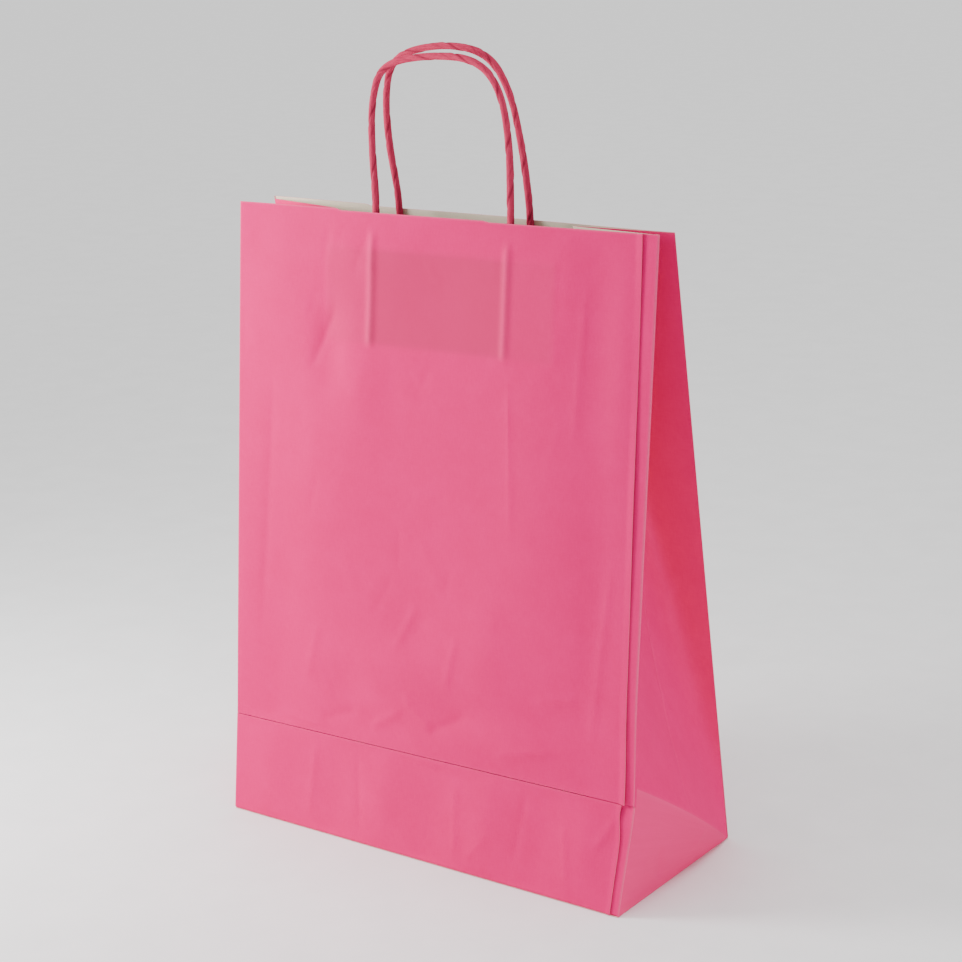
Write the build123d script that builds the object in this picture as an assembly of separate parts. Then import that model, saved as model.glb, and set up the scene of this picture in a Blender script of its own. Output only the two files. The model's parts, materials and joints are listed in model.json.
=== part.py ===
"""Kraft paper gift bag with two twisted-paper cord handles, standing with its mouth nearly closed.

Units are millimetres.  The origin is the centre of the bottom on the floor, X runs along the width,
-Y is the front with the glued seam, and +Z is up.  One folded sheet makes the bag, so each flat facet
between two creases is its own node: the walls turn on the creases when the mouth is opened.
"""
import os
from math import pi, radians, sqrt, tan

from build123d import *

# --- the sheet -----------------------------------------------------------------------------------
WIDTH = 240.0            # front and back walls, corner to corner
DEPTH = 105.0            # side gussets, laid flat
WALL_LENGTH = 320.0      # front and back walls along the paper, bottom crease to mouth
SHEET = 0.2              # paper thickness
CREASE_GAP = 0.5         # a facet's edge stops this far from the crease that it turns on

# --- how the bag stands --------------------------------------------------------------------------
BAND_HEIGHT = 52.5       # front wall below its crease, along the paper
BAND_LEAN = 9.0          # the band's top stands this far inside its foot
FRONT_MOUTH_Y = -14.5    # front wall's top edge
BACK_MOUTH_Y = 6.5       # back wall's top edge
MOUTH_STEPS = ((-58.0, 0.6), (28.0, -0.2), (WIDTH, -0.8))  # the knife's cut: up to x, over nominal

# --- the glued side seam at the right front corner -----------------------------------------------
SEAM_SETBACK = 5.0       # the front sheet's cut edge stops this far short of the corner
SEAM_FLAP = 25.0         # the flap turns the corner and lies behind the front sheet

# --- the block bottom ----------------------------------------------------------------------------
BOTTOM_LAP = 20.0        # each long flap reaches this far past the middle
SIDE_FLAP = 40.0         # reach of the short flaps, whose ends are cut at 45 degrees
FLAP_RELIEF = 1.0        # the short flaps stay this far inside the walls

# --- the gussets ---------------------------------------------------------------------------------
FOOT_RELIEF = 1.2        # the foot's slanted edge stops short of its crease
FOLD_TIP_CUT = 20.0      # a fold's pointed lower tip is left off, this far along its crease
FOLD_RELIEF_LOW = 2.0    # a fold's outer edge stays this far inside the bag's corner, at its foot
FOLD_RELIEF_TOP = 5.0    # ... and at the mouth, where the corner's paper bends most

# --- the handles ---------------------------------------------------------------------------------
CORD = 3.5               # twisted paper cord, diameter
PATCH_WIDTH = 136.0      # glued paper patch that holds a handle's two ends
PATCH_HEIGHT = 50.0
PATCH_DROP = 16.0        # the patch's top edge is this far below the mouth
LEG_END = 4.0            # a cord's cut end stays this far above the patch's bottom edge
CORD_CLEARANCE = 0.05    # between a cord and the paper round it
BEND_BELOW = 1.0         # the cord's bending stretch starts this far below the mouth
JOINT_GAP = 0.3          # between two stretches of one cord that turn against each other
FILLET_SHARE = 0.45      # each bend of a loop takes this share of the shorter run beside it

# Each handle's free loop: x across the bag, then back and up from where the cord passes the mouth.
FRONT_LOOP = (
    (-37.0, 0.3, 8.5),
    (-39.0, 0.9, 31.0),
    (-39.1, 2.0, 54.0),
    (-33.0, 3.4, 71.0),
    (-3.5, 4.3, 75.5),
    (22.5, 4.1, 74.0),
    (36.0, 3.0, 60.5),
    (40.7, 1.4, 35.0),
    (40.5, 0.3, 8.5),
)
BACK_LOOP = (
    (-37.5, -0.2, 8.5),
    (-41.2, -0.8, 30.5),
    (-41.8, -1.6, 54.5),
    (-35.8, -2.6, 74.0),
    (-7.0, -3.2, 81.0),
    (21.0, -3.1, 78.0),
    (33.0, -2.2, 60.5),
    (38.3, -1.0, 33.5),
    (41.0, -0.2, 8.5),
)

# --- worked out from the above -------------------------------------------------------------------
HALF_WIDTH = WIDTH / 2
HALF_DEPTH = DEPTH / 2
HALF_SHEET = SHEET / 2
FRONT_LENGTH = WALL_LENGTH - BAND_HEIGHT                     # front wall, crease to mouth
BAND_FOOT = Vector(0, -HALF_DEPTH, SHEET)
FRONT_FOOT = BAND_FOOT + Vector(0, BAND_LEAN, sqrt(BAND_HEIGHT**2 - BAND_LEAN**2))
BACK_FOOT = Vector(0, HALF_DEPTH, HALF_SHEET)


def mouth_point(foot, length, mouth_y):
    """The middle of a wall's top edge, a given length of paper above its foot."""
    return Vector(0, mouth_y, foot.Z + sqrt(length**2 - (mouth_y - foot.Y) ** 2))


FRONT_MOUTH = mouth_point(FRONT_FOOT, FRONT_LENGTH, FRONT_MOUTH_Y)
BACK_MOUTH = mouth_point(BACK_FOOT, WALL_LENGTH, BACK_MOUTH_Y)


class Wall:
    """A wall's own frame: x across the bag, y up the paper from its foot, depth into the bag."""

    def __init__(self, foot, mouth, inner_face, into):
        across = Vector(1, 0, 0)
        self.frame = Plane(origin=foot, x_dir=across, z_dir=across.cross(mouth - foot))
        self.length = (mouth - foot).length
        self.inner_face = inner_face      # depth of the sheet's inner face
        self.into = into                  # the frame's z for one unit of depth
        self.inwards = self.frame.z_dir * into
        self.cord_depth = inner_face + SHEET + CORD_CLEARANCE + CORD / 2

    def layer(self, outline, depth):
        """One sheet of this outline, from this depth inwards."""
        sheet = extrude(outline, amount=self.into * SHEET)
        return self.frame.location * Pos(0, 0, self.into * depth) * sheet

    def point(self, x, up, depth=0.0):
        """A point of this wall in the bag's own frame."""
        return self.frame.from_local_coords(Vector(x, up, self.into * depth))

    def outline(self, left, right, foot, steps=()):
        """Straight sides, a foot and a top edge with the knife's steps."""
        points = [(left, foot)]
        start = left
        for end, rise in steps or ((right, 0.0),):
            stop = min(end, right)
            points += [(start, self.length + rise), (stop, self.length + rise)]
            start = stop
        return make_face(Polyline(*points, (right, foot), close=True))


FRONT = Wall(FRONT_FOOT, FRONT_MOUTH, inner_face=-HALF_SHEET, into=-1)
BAND = Wall(BAND_FOOT, FRONT_FOOT, inner_face=-HALF_SHEET, into=-1)
BACK = Wall(BACK_FOOT, BACK_MOUTH, inner_face=HALF_SHEET, into=1)


def toward(start, end, distance):
    """The point this far from start on the way to end."""
    return start + (end - start).normalized() * distance


def facet(corners):
    """A flat sheet with its middle on these corners."""
    normal = (corners[1] - corners[0]).cross(corners[2] - corners[0]).normalized()
    plane = Plane(origin=corners[0], x_dir=corners[1] - corners[0], z_dir=normal)
    flat = [plane.to_local_coords(corner) for corner in corners]
    outline = make_face(Polyline(*[(p.X, p.Y) for p in flat], close=True))
    return plane.location * extrude(outline, amount=HALF_SHEET, both=True)


def shrunk(corners, gap):
    """The same outline with every edge moved inwards by the gap."""
    moved = []
    for before, corner, after in zip(corners[-1:] + corners[:-1], corners, corners[1:] + corners[:1]):
        one = (before - corner).normalized()
        other = (after - corner).normalized()
        moved.append(corner + (one + other) * (gap / one.cross(other).length))
    return moved


# --- the bottom and what stands fixed on it ------------------------------------------------------
def bottom_front_flap():
    """Outer bottom flap, which carries on from the front wall."""
    front = -HALF_DEPTH - 1.5 * SHEET
    size = BOTTOM_LAP - front
    return Pos(0, front + size / 2, HALF_SHEET) * Box(WIDTH + SHEET, size, SHEET)


def bottom_back_flap():
    """Inner bottom flap from the back wall: flat on the floor, then one sheet up over the front one."""
    step = BOTTOM_LAP + CREASE_GAP
    back = HALF_DEPTH + HALF_SHEET
    outer = Pos(0, (step + back) / 2, HALF_SHEET) * Box(WIDTH + SHEET, back - step, SHEET)
    lap_end = step + 2 * SHEET
    lap = Pos(0, (lap_end - BOTTOM_LAP) / 2, 1.5 * SHEET) * Box(
        WIDTH - 2 * FLAP_RELIEF, lap_end + BOTTOM_LAP, SHEET
    )
    return outer + lap


def bottom_side_flap(side):
    """Short flap inside the bottom, with its ends cut at 45 degrees."""
    edge = HALF_WIDTH - FLAP_RELIEF
    reach = edge - SIDE_FLAP
    half = HALF_DEPTH - BAND_LEAN / 2
    outline = Polyline(
        (side * edge, -half),
        (side * edge, half),
        (side * reach, half - SIDE_FLAP),
        (side * reach, SIDE_FLAP - half),
        close=True,
    )
    return Pos(0, 0, 2 * SHEET) * extrude(make_face(outline), amount=SHEET)


def front_lower_band():
    """Front wall between the bottom and the level crease, leaning into the bag."""
    outline = BAND.outline(HALF_SHEET - HALF_WIDTH, HALF_WIDTH - SEAM_SETBACK, HALF_SHEET)
    return BAND.layer(outline - top_strip(BAND), BAND.inner_face - SHEET)


def seam_flap_foot():
    """Seam flap behind the lower band."""
    right = HALF_WIDTH - HALF_SHEET
    outline = BAND.outline(HALF_WIDTH - SEAM_FLAP, right, HALF_SHEET)
    return BAND.layer(outline - top_strip(BAND), BAND.inner_face)


def top_strip(wall):
    """What is left off below a crease at a wall's top."""
    return Pos(0, wall.length) * Rectangle(2 * WIDTH, 2 * CREASE_GAP)


def gusset_foot(side):
    """Gusset triangle below the slanted crease, standing upright at the bag's end."""
    end = Vector(side * HALF_WIDTH, 0, 0)
    front_low = BAND_FOOT + end
    back_low = Vector(BACK_FOOT.X, BACK_FOOT.Y, SHEET) + end
    return facet(
        [
            front_low,
            toward(back_low, front_low, FOOT_RELIEF),
            toward(FRONT_FOOT + end, front_low, FOOT_RELIEF),
        ]
    )


# --- the front and back walls --------------------------------------------------------------------
def front_panel():
    """Front sheet above the crease; its cut edge at the seam shows."""
    right = HALF_WIDTH - SEAM_SETBACK
    outline = FRONT.outline(-HALF_WIDTH, right, CREASE_GAP, MOUTH_STEPS)
    return FRONT.layer(outline, FRONT.inner_face - SHEET)


def front_seam_flap():
    """Seam flap that turns the right front corner behind the front sheet."""
    outline = FRONT.outline(HALF_WIDTH - SEAM_FLAP, HALF_WIDTH, CREASE_GAP, MOUTH_STEPS[-1:])
    return FRONT.layer(outline, FRONT.inner_face)


def back_panel():
    """Back sheet from the bottom to the mouth."""
    outline = BACK.outline(-HALF_WIDTH, HALF_WIDTH, CREASE_GAP, MOUTH_STEPS)
    return BACK.layer(outline, BACK.inner_face - SHEET)


# --- the gussets ---------------------------------------------------------------------------------
def gusset_points(side):
    """Crease ends of a gusset: front, back, and at the mouth its tucked middle, front and rear."""
    end = Vector(side * HALF_WIDTH, 0, 0)
    front, back = FRONT_FOOT + end, BACK_FOOT + end
    top_front, top_rear = FRONT_MOUTH + end, BACK_MOUTH + end
    tuck = sqrt(HALF_DEPTH**2 - ((BACK_MOUTH_Y - FRONT_MOUTH_Y) / 2) ** 2)
    middle_y = (BACK_MOUTH_Y + FRONT_MOUTH_Y) / 2
    rise = sqrt(HALF_DEPTH**2 + FRONT_LENGTH**2 - tuck**2 - (middle_y - front.Y) ** 2)
    top_centre = Vector(side * (HALF_WIDTH - tuck), middle_y, front.Z + rise)
    return front, back, top_centre, top_front, top_rear


def gusset_centre(side):
    """Gusset's middle facet, which tilts into the bag from the slanted crease."""
    front, back, top_centre, _, _ = gusset_points(side)
    return facet(shrunk([front, back, top_centre], CREASE_GAP))


def gusset_fold(foot, top_centre, top_corner):
    """Gusset's facet between the middle one and a wall, with room to swing beside the wall."""
    low_inner = toward(foot, top_centre, FOLD_TIP_CUT)
    low_outer = toward(foot, top_corner, FOLD_TIP_CUT)
    return facet(
        [
            toward(low_inner, low_outer, CREASE_GAP),
            toward(low_outer, low_inner, FOLD_RELIEF_LOW),
            toward(top_corner, top_centre, FOLD_RELIEF_TOP),
            toward(top_centre, top_corner, CREASE_GAP),
        ]
    )


# --- the handles ---------------------------------------------------------------------------------
def patch_backing(wall, cord_x):
    """Patch sheet glued flat inside the wall."""
    middle = (sum(cord_x) / 2, wall.length - PATCH_DROP - PATCH_HEIGHT / 2)
    return wall.layer(Pos(*middle) * Rectangle(PATCH_WIDTH, PATCH_HEIGHT), wall.inner_face)


def channel(wall, x, radius):
    """Section of a channel over one cord, down to the backing, as x and depth."""
    floor = wall.inner_face + SHEET
    walls = Pos(x, (floor + wall.cord_depth) / 2) * Rectangle(2 * radius, wall.cord_depth - floor)
    crown = Pos(x, wall.cord_depth) * Circle(radius)
    below_floor = Pos(x, floor - radius) * Rectangle(2 * radius, 2 * radius)
    return walls + crown - below_floor


def patch_cover(wall, cord_x):
    """Patch sheet pressed over the cord's ends, raised into a channel along each."""
    low = wall.length - PATCH_DROP - PATCH_HEIGHT
    hollow = CORD / 2 + CORD_CLEARANCE
    section = Pos(sum(cord_x) / 2, wall.inner_face + 1.5 * SHEET) * Rectangle(PATCH_WIDTH, SHEET)
    for x in cord_x:
        section += channel(wall, x, hollow + SHEET)
    for x in cord_x:
        section -= channel(wall, x, hollow)
    across = Vector(1, 0, 0)
    plane = Plane(origin=wall.point(0, low), x_dir=across, z_dir=across.cross(wall.inwards))
    rise = PATCH_HEIGHT * wall.frame.y_dir.dot(plane.z_dir)
    return plane.location * extrude(section, amount=rise)


def straight_cord(start, end):
    """A straight stretch of cord."""
    plane = Plane(origin=start, z_dir=end - start)
    return plane.location * extrude(Circle(CORD / 2), amount=(end - start).length)


def cord_legs(wall, cord_x):
    """The two ends of a handle's cord, from under the patch up to just below the mouth."""
    low = wall.length - PATCH_DROP - PATCH_HEIGHT + LEG_END
    high = wall.length - BEND_BELOW - JOINT_GAP
    return Compound(
        [
            straight_cord(wall.point(x, low, wall.cord_depth), wall.point(x, high, wall.cord_depth))
            for x in cord_x
        ]
    )


def loop_points(wall, loop):
    """A loop's points in the bag's own frame."""
    passes = wall.point(0, wall.length, wall.cord_depth)
    return [passes + Vector(x, back, up) for x, back, up in loop]


def cord_bends(wall, loop):
    """The short stretches at the mouth where a handle's cord bends as it swings."""
    points = loop_points(wall, loop)
    bends = []
    for (x, _, _), start in ((loop[0], points[0]), (loop[-1], points[-1])):
        low = wall.point(x, wall.length - BEND_BELOW, wall.cord_depth)
        bends.append(straight_cord(low, toward(start, low, JOINT_GAP)))
    return Compound(bends)


def handle(name, wall, loop):
    """A handle's free loop of cord: straight runs joined by tangent arcs."""
    points = loop_points(wall, loop)
    radii = []
    for before, corner, after in zip(points, points[1:], points[2:]):
        turn = radians((corner - before).get_angle(after - corner))
        shorter = min((corner - before).length, (after - corner).length)
        radii.append(FILLET_SHARE * shorter / tan(turn / 2))
    path = FilletPolyline(*points, radius=radii)
    section = Plane(origin=points[0], z_dir=points[1] - points[0]) * Circle(CORD / 2)
    tube = sweep(section, path=path)
    print(name, "radii", [round(r, 1) for r in radii], "length", round(path.length, 1))
    print(name, "volume over section x length", round(tube.volume / (pi * CORD**2 / 4 * path.length), 4))
    return tube


def build():
    """Every node of the bag by name."""
    nodes = {
        "bottom_front_flap": bottom_front_flap(),
        "bottom_back_flap": bottom_back_flap(),
        "front_lower_band": front_lower_band(),
        "seam_flap_foot": seam_flap_foot(),
        "front_panel": front_panel(),
        "front_seam_flap": front_seam_flap(),
        "back_panel": back_panel(),
    }
    for name, side in (("left", -1), ("right", 1)):
        front, back, top_centre, top_front, top_rear = gusset_points(side)
        nodes[f"bottom_{name}_flap"] = bottom_side_flap(side)
        nodes[f"{name}_gusset_foot"] = gusset_foot(side)
        nodes[f"{name}_gusset_centre"] = gusset_centre(side)
        nodes[f"{name}_gusset_front_fold"] = gusset_fold(front, top_centre, top_front)
        nodes[f"{name}_gusset_rear_fold"] = gusset_fold(back, top_centre, top_rear)
    for name, wall, loop in (("front", FRONT, FRONT_LOOP), ("back", BACK, BACK_LOOP)):
        cord_x = (loop[0][0], loop[-1][0])
        nodes[f"{name}_patch_backing"] = patch_backing(wall, cord_x)
        nodes[f"{name}_patch_cover"] = patch_cover(wall, cord_x)
        nodes[f"{name}_cord_legs"] = cord_legs(wall, cord_x)
        nodes[f"{name}_cord_bends"] = cord_bends(wall, loop)
        nodes[f"{name}_handle"] = handle(f"{name}_handle", wall, loop)
    return nodes


os.makedirs("parts", exist_ok=True)
for node, shape in build().items():
    export_step(shape, f"parts/{node}.step")
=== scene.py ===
# %% [markdown]
# # A kraft paper gift bag with twisted cord handles
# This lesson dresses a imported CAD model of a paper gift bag. The CAD parts are flat facets that turn
# on the bag's creases. Here every facet gets the paper that a real bag has: soft dents, pressed
# creases, rounded folds, a cut edge, and a surface of pressed fibres.
# Everything is in metres and in the CAD model's own frame, so nothing has to be fitted afterwards.

# %% Load the frame
import json
import math
import random
import bpy
import numpy as np
from mathutils import Matrix, Vector


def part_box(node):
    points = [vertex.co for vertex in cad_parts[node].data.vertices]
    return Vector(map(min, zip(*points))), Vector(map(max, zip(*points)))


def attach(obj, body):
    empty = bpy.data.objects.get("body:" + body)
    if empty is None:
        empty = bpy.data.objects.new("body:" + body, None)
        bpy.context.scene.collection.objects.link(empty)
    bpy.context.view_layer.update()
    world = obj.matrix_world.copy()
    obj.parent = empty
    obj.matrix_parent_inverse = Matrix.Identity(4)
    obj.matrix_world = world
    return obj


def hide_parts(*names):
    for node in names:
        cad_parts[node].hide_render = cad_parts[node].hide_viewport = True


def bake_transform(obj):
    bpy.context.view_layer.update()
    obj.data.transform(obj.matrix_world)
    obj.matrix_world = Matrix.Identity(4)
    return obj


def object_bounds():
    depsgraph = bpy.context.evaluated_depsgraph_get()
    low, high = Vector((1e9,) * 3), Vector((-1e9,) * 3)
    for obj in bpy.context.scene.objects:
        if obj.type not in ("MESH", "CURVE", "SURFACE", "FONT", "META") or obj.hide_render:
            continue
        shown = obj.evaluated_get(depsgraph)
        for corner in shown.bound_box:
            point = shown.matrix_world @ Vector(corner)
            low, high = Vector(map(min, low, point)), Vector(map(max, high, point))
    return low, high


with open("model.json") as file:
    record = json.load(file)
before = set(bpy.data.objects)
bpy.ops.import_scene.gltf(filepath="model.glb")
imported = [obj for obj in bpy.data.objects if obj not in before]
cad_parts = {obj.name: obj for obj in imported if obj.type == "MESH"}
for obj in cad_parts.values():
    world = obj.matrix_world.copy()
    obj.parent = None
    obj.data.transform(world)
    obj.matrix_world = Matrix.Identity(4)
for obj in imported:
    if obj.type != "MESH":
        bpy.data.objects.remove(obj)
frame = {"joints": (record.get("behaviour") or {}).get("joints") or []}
cad_low, cad_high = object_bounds()
print("CAD box", [round(v, 3) for v in cad_low], [round(v, 3) for v in cad_high])

# %% [markdown]
# ## The places that everything hangs on
# A crease is a line that paper turns on. The CAD joints lie on those lines, so their positions give
# the bag's skeleton: the level crease of the front wall, the back wall's foot and the cords' exits.

# %% Skeleton of the bag
MM = 0.001
joint_at = {joint["name"]: Vector(joint.get("pos_m", (0, 0, 0))) for joint in frame["joints"]}
HALF_WIDTH = (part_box("back_panel")[1][0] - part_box("back_panel")[0][0]) / 2
HALF_DEPTH = joint_at["back_wall_tilt"].y
CREASE = joint_at["mouth"]
FRONT_MOUTH = Vector((0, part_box("front_panel")[1][1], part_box("front_seam_flap")[1][2] + 0.8 * MM))
BACK_MOUTH = Vector((0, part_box("back_panel")[0][1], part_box("back_panel")[1][2] - 0.6 * MM))
PAPER = 0.28 * MM
print("half width", round(HALF_WIDTH, 4), "crease", CREASE[:], "front mouth", FRONT_MOUTH[:])

# %% [markdown]
# ## The camera
# The camera comes first, because everything is judged through it. A long lens stands a little over
# a metre away, to the right of the front and slightly above the mouth, as in a shop catalogue.
# Its axes are built by hand: `back` points from the object to the camera, and a small roll tips it.

# %% Camera
def camera_looking(target, azimuth, elevation, roll, distance, lens):
    """Adds a camera that looks at target from an azimuth and elevation, in degrees."""
    a, e, r = (math.radians(angle) for angle in (azimuth, elevation, roll))
    back = Vector((math.sin(a) * math.cos(e), -math.cos(a) * math.cos(e), math.sin(e)))
    level = Vector((0, 0, 1)).cross(back).normalized()
    upright = back.cross(level)
    right = level * math.cos(r) + upright * math.sin(r)
    up = upright * math.cos(r) - level * math.sin(r)
    data = bpy.data.cameras.new("camera")
    data.lens = lens
    data.sensor_width = 36
    camera = bpy.data.objects.new("camera", data)
    axes = Matrix((right, up, back)).transposed().to_4x4()
    camera.matrix_world = Matrix.Translation(target + back * distance) @ axes
    bpy.context.collection.objects.link(camera)
    bpy.context.scene.camera = camera
    return camera


middle = (cad_low + cad_high) / 2
CAMERA_TARGET = Vector((10.4 * MM, 0, middle.z - 13.8 * MM))
camera_looking(CAMERA_TARGET, azimuth=36.22, elevation=15.77, roll=-1.87, distance=1.108, lens=84.1)
print("camera looks at", CAMERA_TARGET[:])

# %% [markdown]
# ## How this bag stands
# No two bags stand alike. This one is a little askew: the front wall's mouth is further out at the
# left than at the right, and the level crease is pushed in at the right. These few amounts, added
# to the CAD skeleton, say how. Everything that touches a wall asks the same functions for its place,
# so that patches, cords and gussets follow the wall wherever it bends.

# %% Lie of the walls
FRONT_SKEW = 5.0 * MM      # the front mouth's right end stands this far further back than its middle
BACK_SKEW = -1.2 * MM      # the back mouth's right end, the other way
CREASE_PUSH = 0.7 * MM     # the whole level crease stands this far in
CREASE_SKEW = 3.3 * MM     # its right end is this much further in than its middle
CORNER_JUT = 2.0 * MM      # the right end of the crease is squeezed outwards
FOLD_RADIUS = 0.7 * MM     # paper folded over at a corner
CORNER_TURN = 1.45         # radians that it turns through low down, about a right angle
SHUT_TURN = 2.98           # ... and from a third of the way up, where the fold is nearly shut
KNIFE_STEPS = ((-58 * MM, 0.6 * MM), (28 * MM, -0.2 * MM), (1.0, -0.8 * MM))
CUT_FADE = 25 * MM
FOOT_TUCK = 0.8 * MM       # the lowest millimetre of a wall turns in this far


def smooth(t):
    """Smoothstep of an array, from 0 to 1."""
    t = np.clip(t, 0, 1)
    return t * t * (3 - 2 * t)


def mix(a, b, t):
    return a + (b - a) * t


def hump(distance, width):
    """A soft bump of height 1 that is about this wide each way."""
    return np.exp(-((distance / width) ** 2))


def knife_cut(x):
    """How far the mouth's cut edge is above or below its nominal height."""
    rise = np.full_like(x, KNIFE_STEPS[0][1])
    for (start, before), (_, after) in zip(KNIFE_STEPS, KNIFE_STEPS[1:]):
        rise += (after - before) * smooth((x - start) / (3 * MM) + 0.5)
    return rise


def cut_top(x, s, length):
    """The knife's cut moves only the top of a wall, and fades out below it."""
    return knife_cut(x) * smooth((s - length + CUT_FADE) / CUT_FADE)


def round_corner(x, share=None):
    """Where paper at a flat distance x from the wall's middle goes: (x, depth), over the corner fold.
    With a share of the wall's height, the fold shuts on the way up, and less paper turns low down."""
    straight = HALF_WIDTH - FOLD_RADIUS
    past = np.clip(np.abs(x) - straight, 0, None)
    shut = 0 if share is None else smooth(share / 0.35)
    if share is not None:
        past = past * mix(0.25, 1, shut)
    turn = mix(CORNER_TURN, SHUT_TURN, shut)
    angle = np.minimum(past / FOLD_RADIUS, turn)
    beyond = past - angle * FOLD_RADIUS
    folded = straight + FOLD_RADIUS * np.sin(angle) + beyond * np.cos(turn)
    across = np.where(past > 0, folded, np.abs(x))
    return np.sign(x) * across, FOLD_RADIUS * (1 - np.cos(angle)) + beyond * np.sin(turn)


print("a knife step is", round(float(np.ptp(knife_cut(np.array([-0.1, 0.1])))) * 1000, 2), "mm")

# %% [markdown]
# ## Relief of the paper
# Paper is stiff, so it doesn't drape like cloth: it stays nearly flat, and what shows are shallow
# hollows where it was pressed, sharp little creases where it buckled, and ridges where the glued
# cords push through from behind. Each wall's relief is a sum of such marks, in millimetres of
# height over a flat wall. Hollows and creases are short given lists, and a seeded scatter adds
# the small ones that nobody would place by hand.

# %% Marks in paper
def hollows(x, s, marks):
    """Sum of soft bumps; a mark is (x, up, half width, half height, rise), all in millimetres."""
    total = np.zeros_like(x)
    for mark in marks:
        mx, ms, wide, tall, rise = (value * MM for value in mark)
        total += rise * np.exp(-(((x - mx) / wide) ** 2) - ((s - ms) / tall) ** 2)
    return total


def creases(x, s, marks):
    """Sum of sharp-crested lines; a mark is (x, up, x, up, rise, width), in millimetres."""
    total = np.zeros_like(x)
    for mark in marks:
        x0, s0, x1, s1, rise, width = (value * MM for value in mark)
        along = np.hypot(x1 - x0, s1 - s0)
        tx, ts = (x1 - x0) / along, (s1 - s0) / along
        reach = (x - x0) * tx + (s - s0) * ts
        side = np.abs((x - x0) * ts - (s - s0) * tx)
        fade = smooth(reach / along * 4) * smooth((along - reach) / along * 4)
        total += rise * fade * np.exp(-side / width)
    return total


def scattered_creases(seed, count, width, height, rise=0.22):
    """Small random creases over a wall of that size in millimetres, mostly upright or slanting."""
    dice = random.Random(seed)
    marks = []
    for _ in range(count):
        x = dice.uniform(-width / 2, width / 2)
        s = dice.uniform(6, height - 12)
        length = dice.uniform(8, 34)
        angle = math.radians(dice.choice((90, 70, 115, 60, 125, 20, 160)) + dice.uniform(-12, 12))
        dx, ds = math.cos(angle) * length, math.sin(angle) * length
        marks.append((x, s, x + dx, s + ds, dice.choice((-1, 1)) * dice.uniform(0.3, 1) * rise,
                      dice.uniform(1.2, 3.5)))
    return marks


# %% [markdown]
# ## The walls as surfaces
# Each wall is a function: give it places across and up the paper, and it answers with points in the
# bag's frame. The front wall has two parts, above and below the level crease. The crease is a valley,
# because a bag that was packed flat folds there, and the paper remembers it.

# %% Front, band and back surfaces
FRONT_LENGTH = math.hypot(FRONT_MOUTH.y - CREASE.y, FRONT_MOUTH.z - CREASE.z)
BACK_FOOT = joint_at["back_wall_tilt"]
BACK_LENGTH = math.hypot(BACK_MOUTH.y - BACK_FOOT.y, BACK_MOUTH.z - BACK_FOOT.z)
FLOOR_GAP = 0.2 * MM
BAND_LENGTH = math.hypot(CREASE.y + HALF_DEPTH, CREASE.z - FLOOR_GAP)
FRONT_UP = Vector((0, FRONT_MOUTH.y - CREASE.y, FRONT_MOUTH.z - CREASE.z)).normalized()
BACK_UP = Vector((0, BACK_MOUTH.y - BACK_FOOT.y, BACK_MOUTH.z - BACK_FOOT.z)).normalized()
INTO_FRONT = Vector((0, FRONT_UP.z, -FRONT_UP.y))
INTO_BACK = Vector((0, -BACK_UP.z, BACK_UP.y))


def crease_y(u):
    """Depth of the level crease at a share of the half width."""
    return CREASE.y + CREASE_PUSH + CREASE_SKEW * u


def jut(u, distance):
    """The squeezed corner stands out sideways, fading away from the crease."""
    return CORNER_JUT * np.clip(u, 0, 1) ** 6 * hump(distance, 34 * MM)


def front_at(x, s, depth=0.0):
    """Front wall: x across, s up the paper from the crease, depth into the bag."""
    share = s / FRONT_LENGTH
    across, fold = round_corner(x, share)
    u = across / HALF_WIDTH
    y = mix(crease_y(u), FRONT_MOUTH.y + FRONT_SKEW * u, share) + (fold + depth) * INTO_FRONT.y
    z = mix(CREASE.z, FRONT_MOUTH.z, share) + (fold + depth) * INTO_FRONT.z
    return np.stack([across + jut(u, s), y, z], axis=-1)


def band_at(x, s, depth=0.0):
    """Front wall below the crease: s up the paper from the floor."""
    across, fold = round_corner(x)
    u = across / HALF_WIDTH
    share = s / BAND_LENGTH
    tuck = FOOT_TUCK * smooth(1 - s / (1.2 * MM))
    y = mix(-HALF_DEPTH, crease_y(u), share) + fold + depth + tuck
    z = mix(FLOOR_GAP, CREASE.z, share)
    return np.stack([across + jut(u, BAND_LENGTH - s), y, z], axis=-1)


def back_at(x, s, depth=0.0):
    """Back wall: s up the paper from the floor."""
    across, fold = round_corner(x)
    share = s / BACK_LENGTH
    mouth_y = BACK_MOUTH.y + BACK_SKEW * across / HALF_WIDTH
    tuck = FOOT_TUCK * smooth(1 - s / (1.2 * MM))
    y = mix(BACK_FOOT.y, mouth_y, share) + (fold + depth) * INTO_BACK.y - tuck
    z = mix(BACK_FOOT.z, BACK_MOUTH.z, share) + (fold + depth) * INTO_BACK.z
    return np.stack([across, y, z], axis=-1)


print("front", round(FRONT_LENGTH, 4), "band", round(BAND_LENGTH, 4), "back", round(BACK_LENGTH, 4))

# %% [markdown]
# ## The cords
# A kraft bag's handle is one twisted paper cord. Both its ends are glued between two paper patches
# inside the wall, and the free part stands up as a loop. Paper cord is stiff and keeps the bend that
# the packing gave it, so the loop is a spline through the same points as the CAD handle,
# led down along the wall to the patch at both ends. The cord follows its own leaning wall: the lean
# shifts each leg, and the shift fades out over the loop's top.

# %% Cord routes
CORD = 3.5 * MM
PATCH_DROP = 16 * MM       # the patch's top edge below the mouth
PATCH_HEIGHT = 50 * MM
LEG_END = 4 * MM
CORD_DEPTH = 1.95 * MM     # the cord's middle behind the wall's

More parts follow.
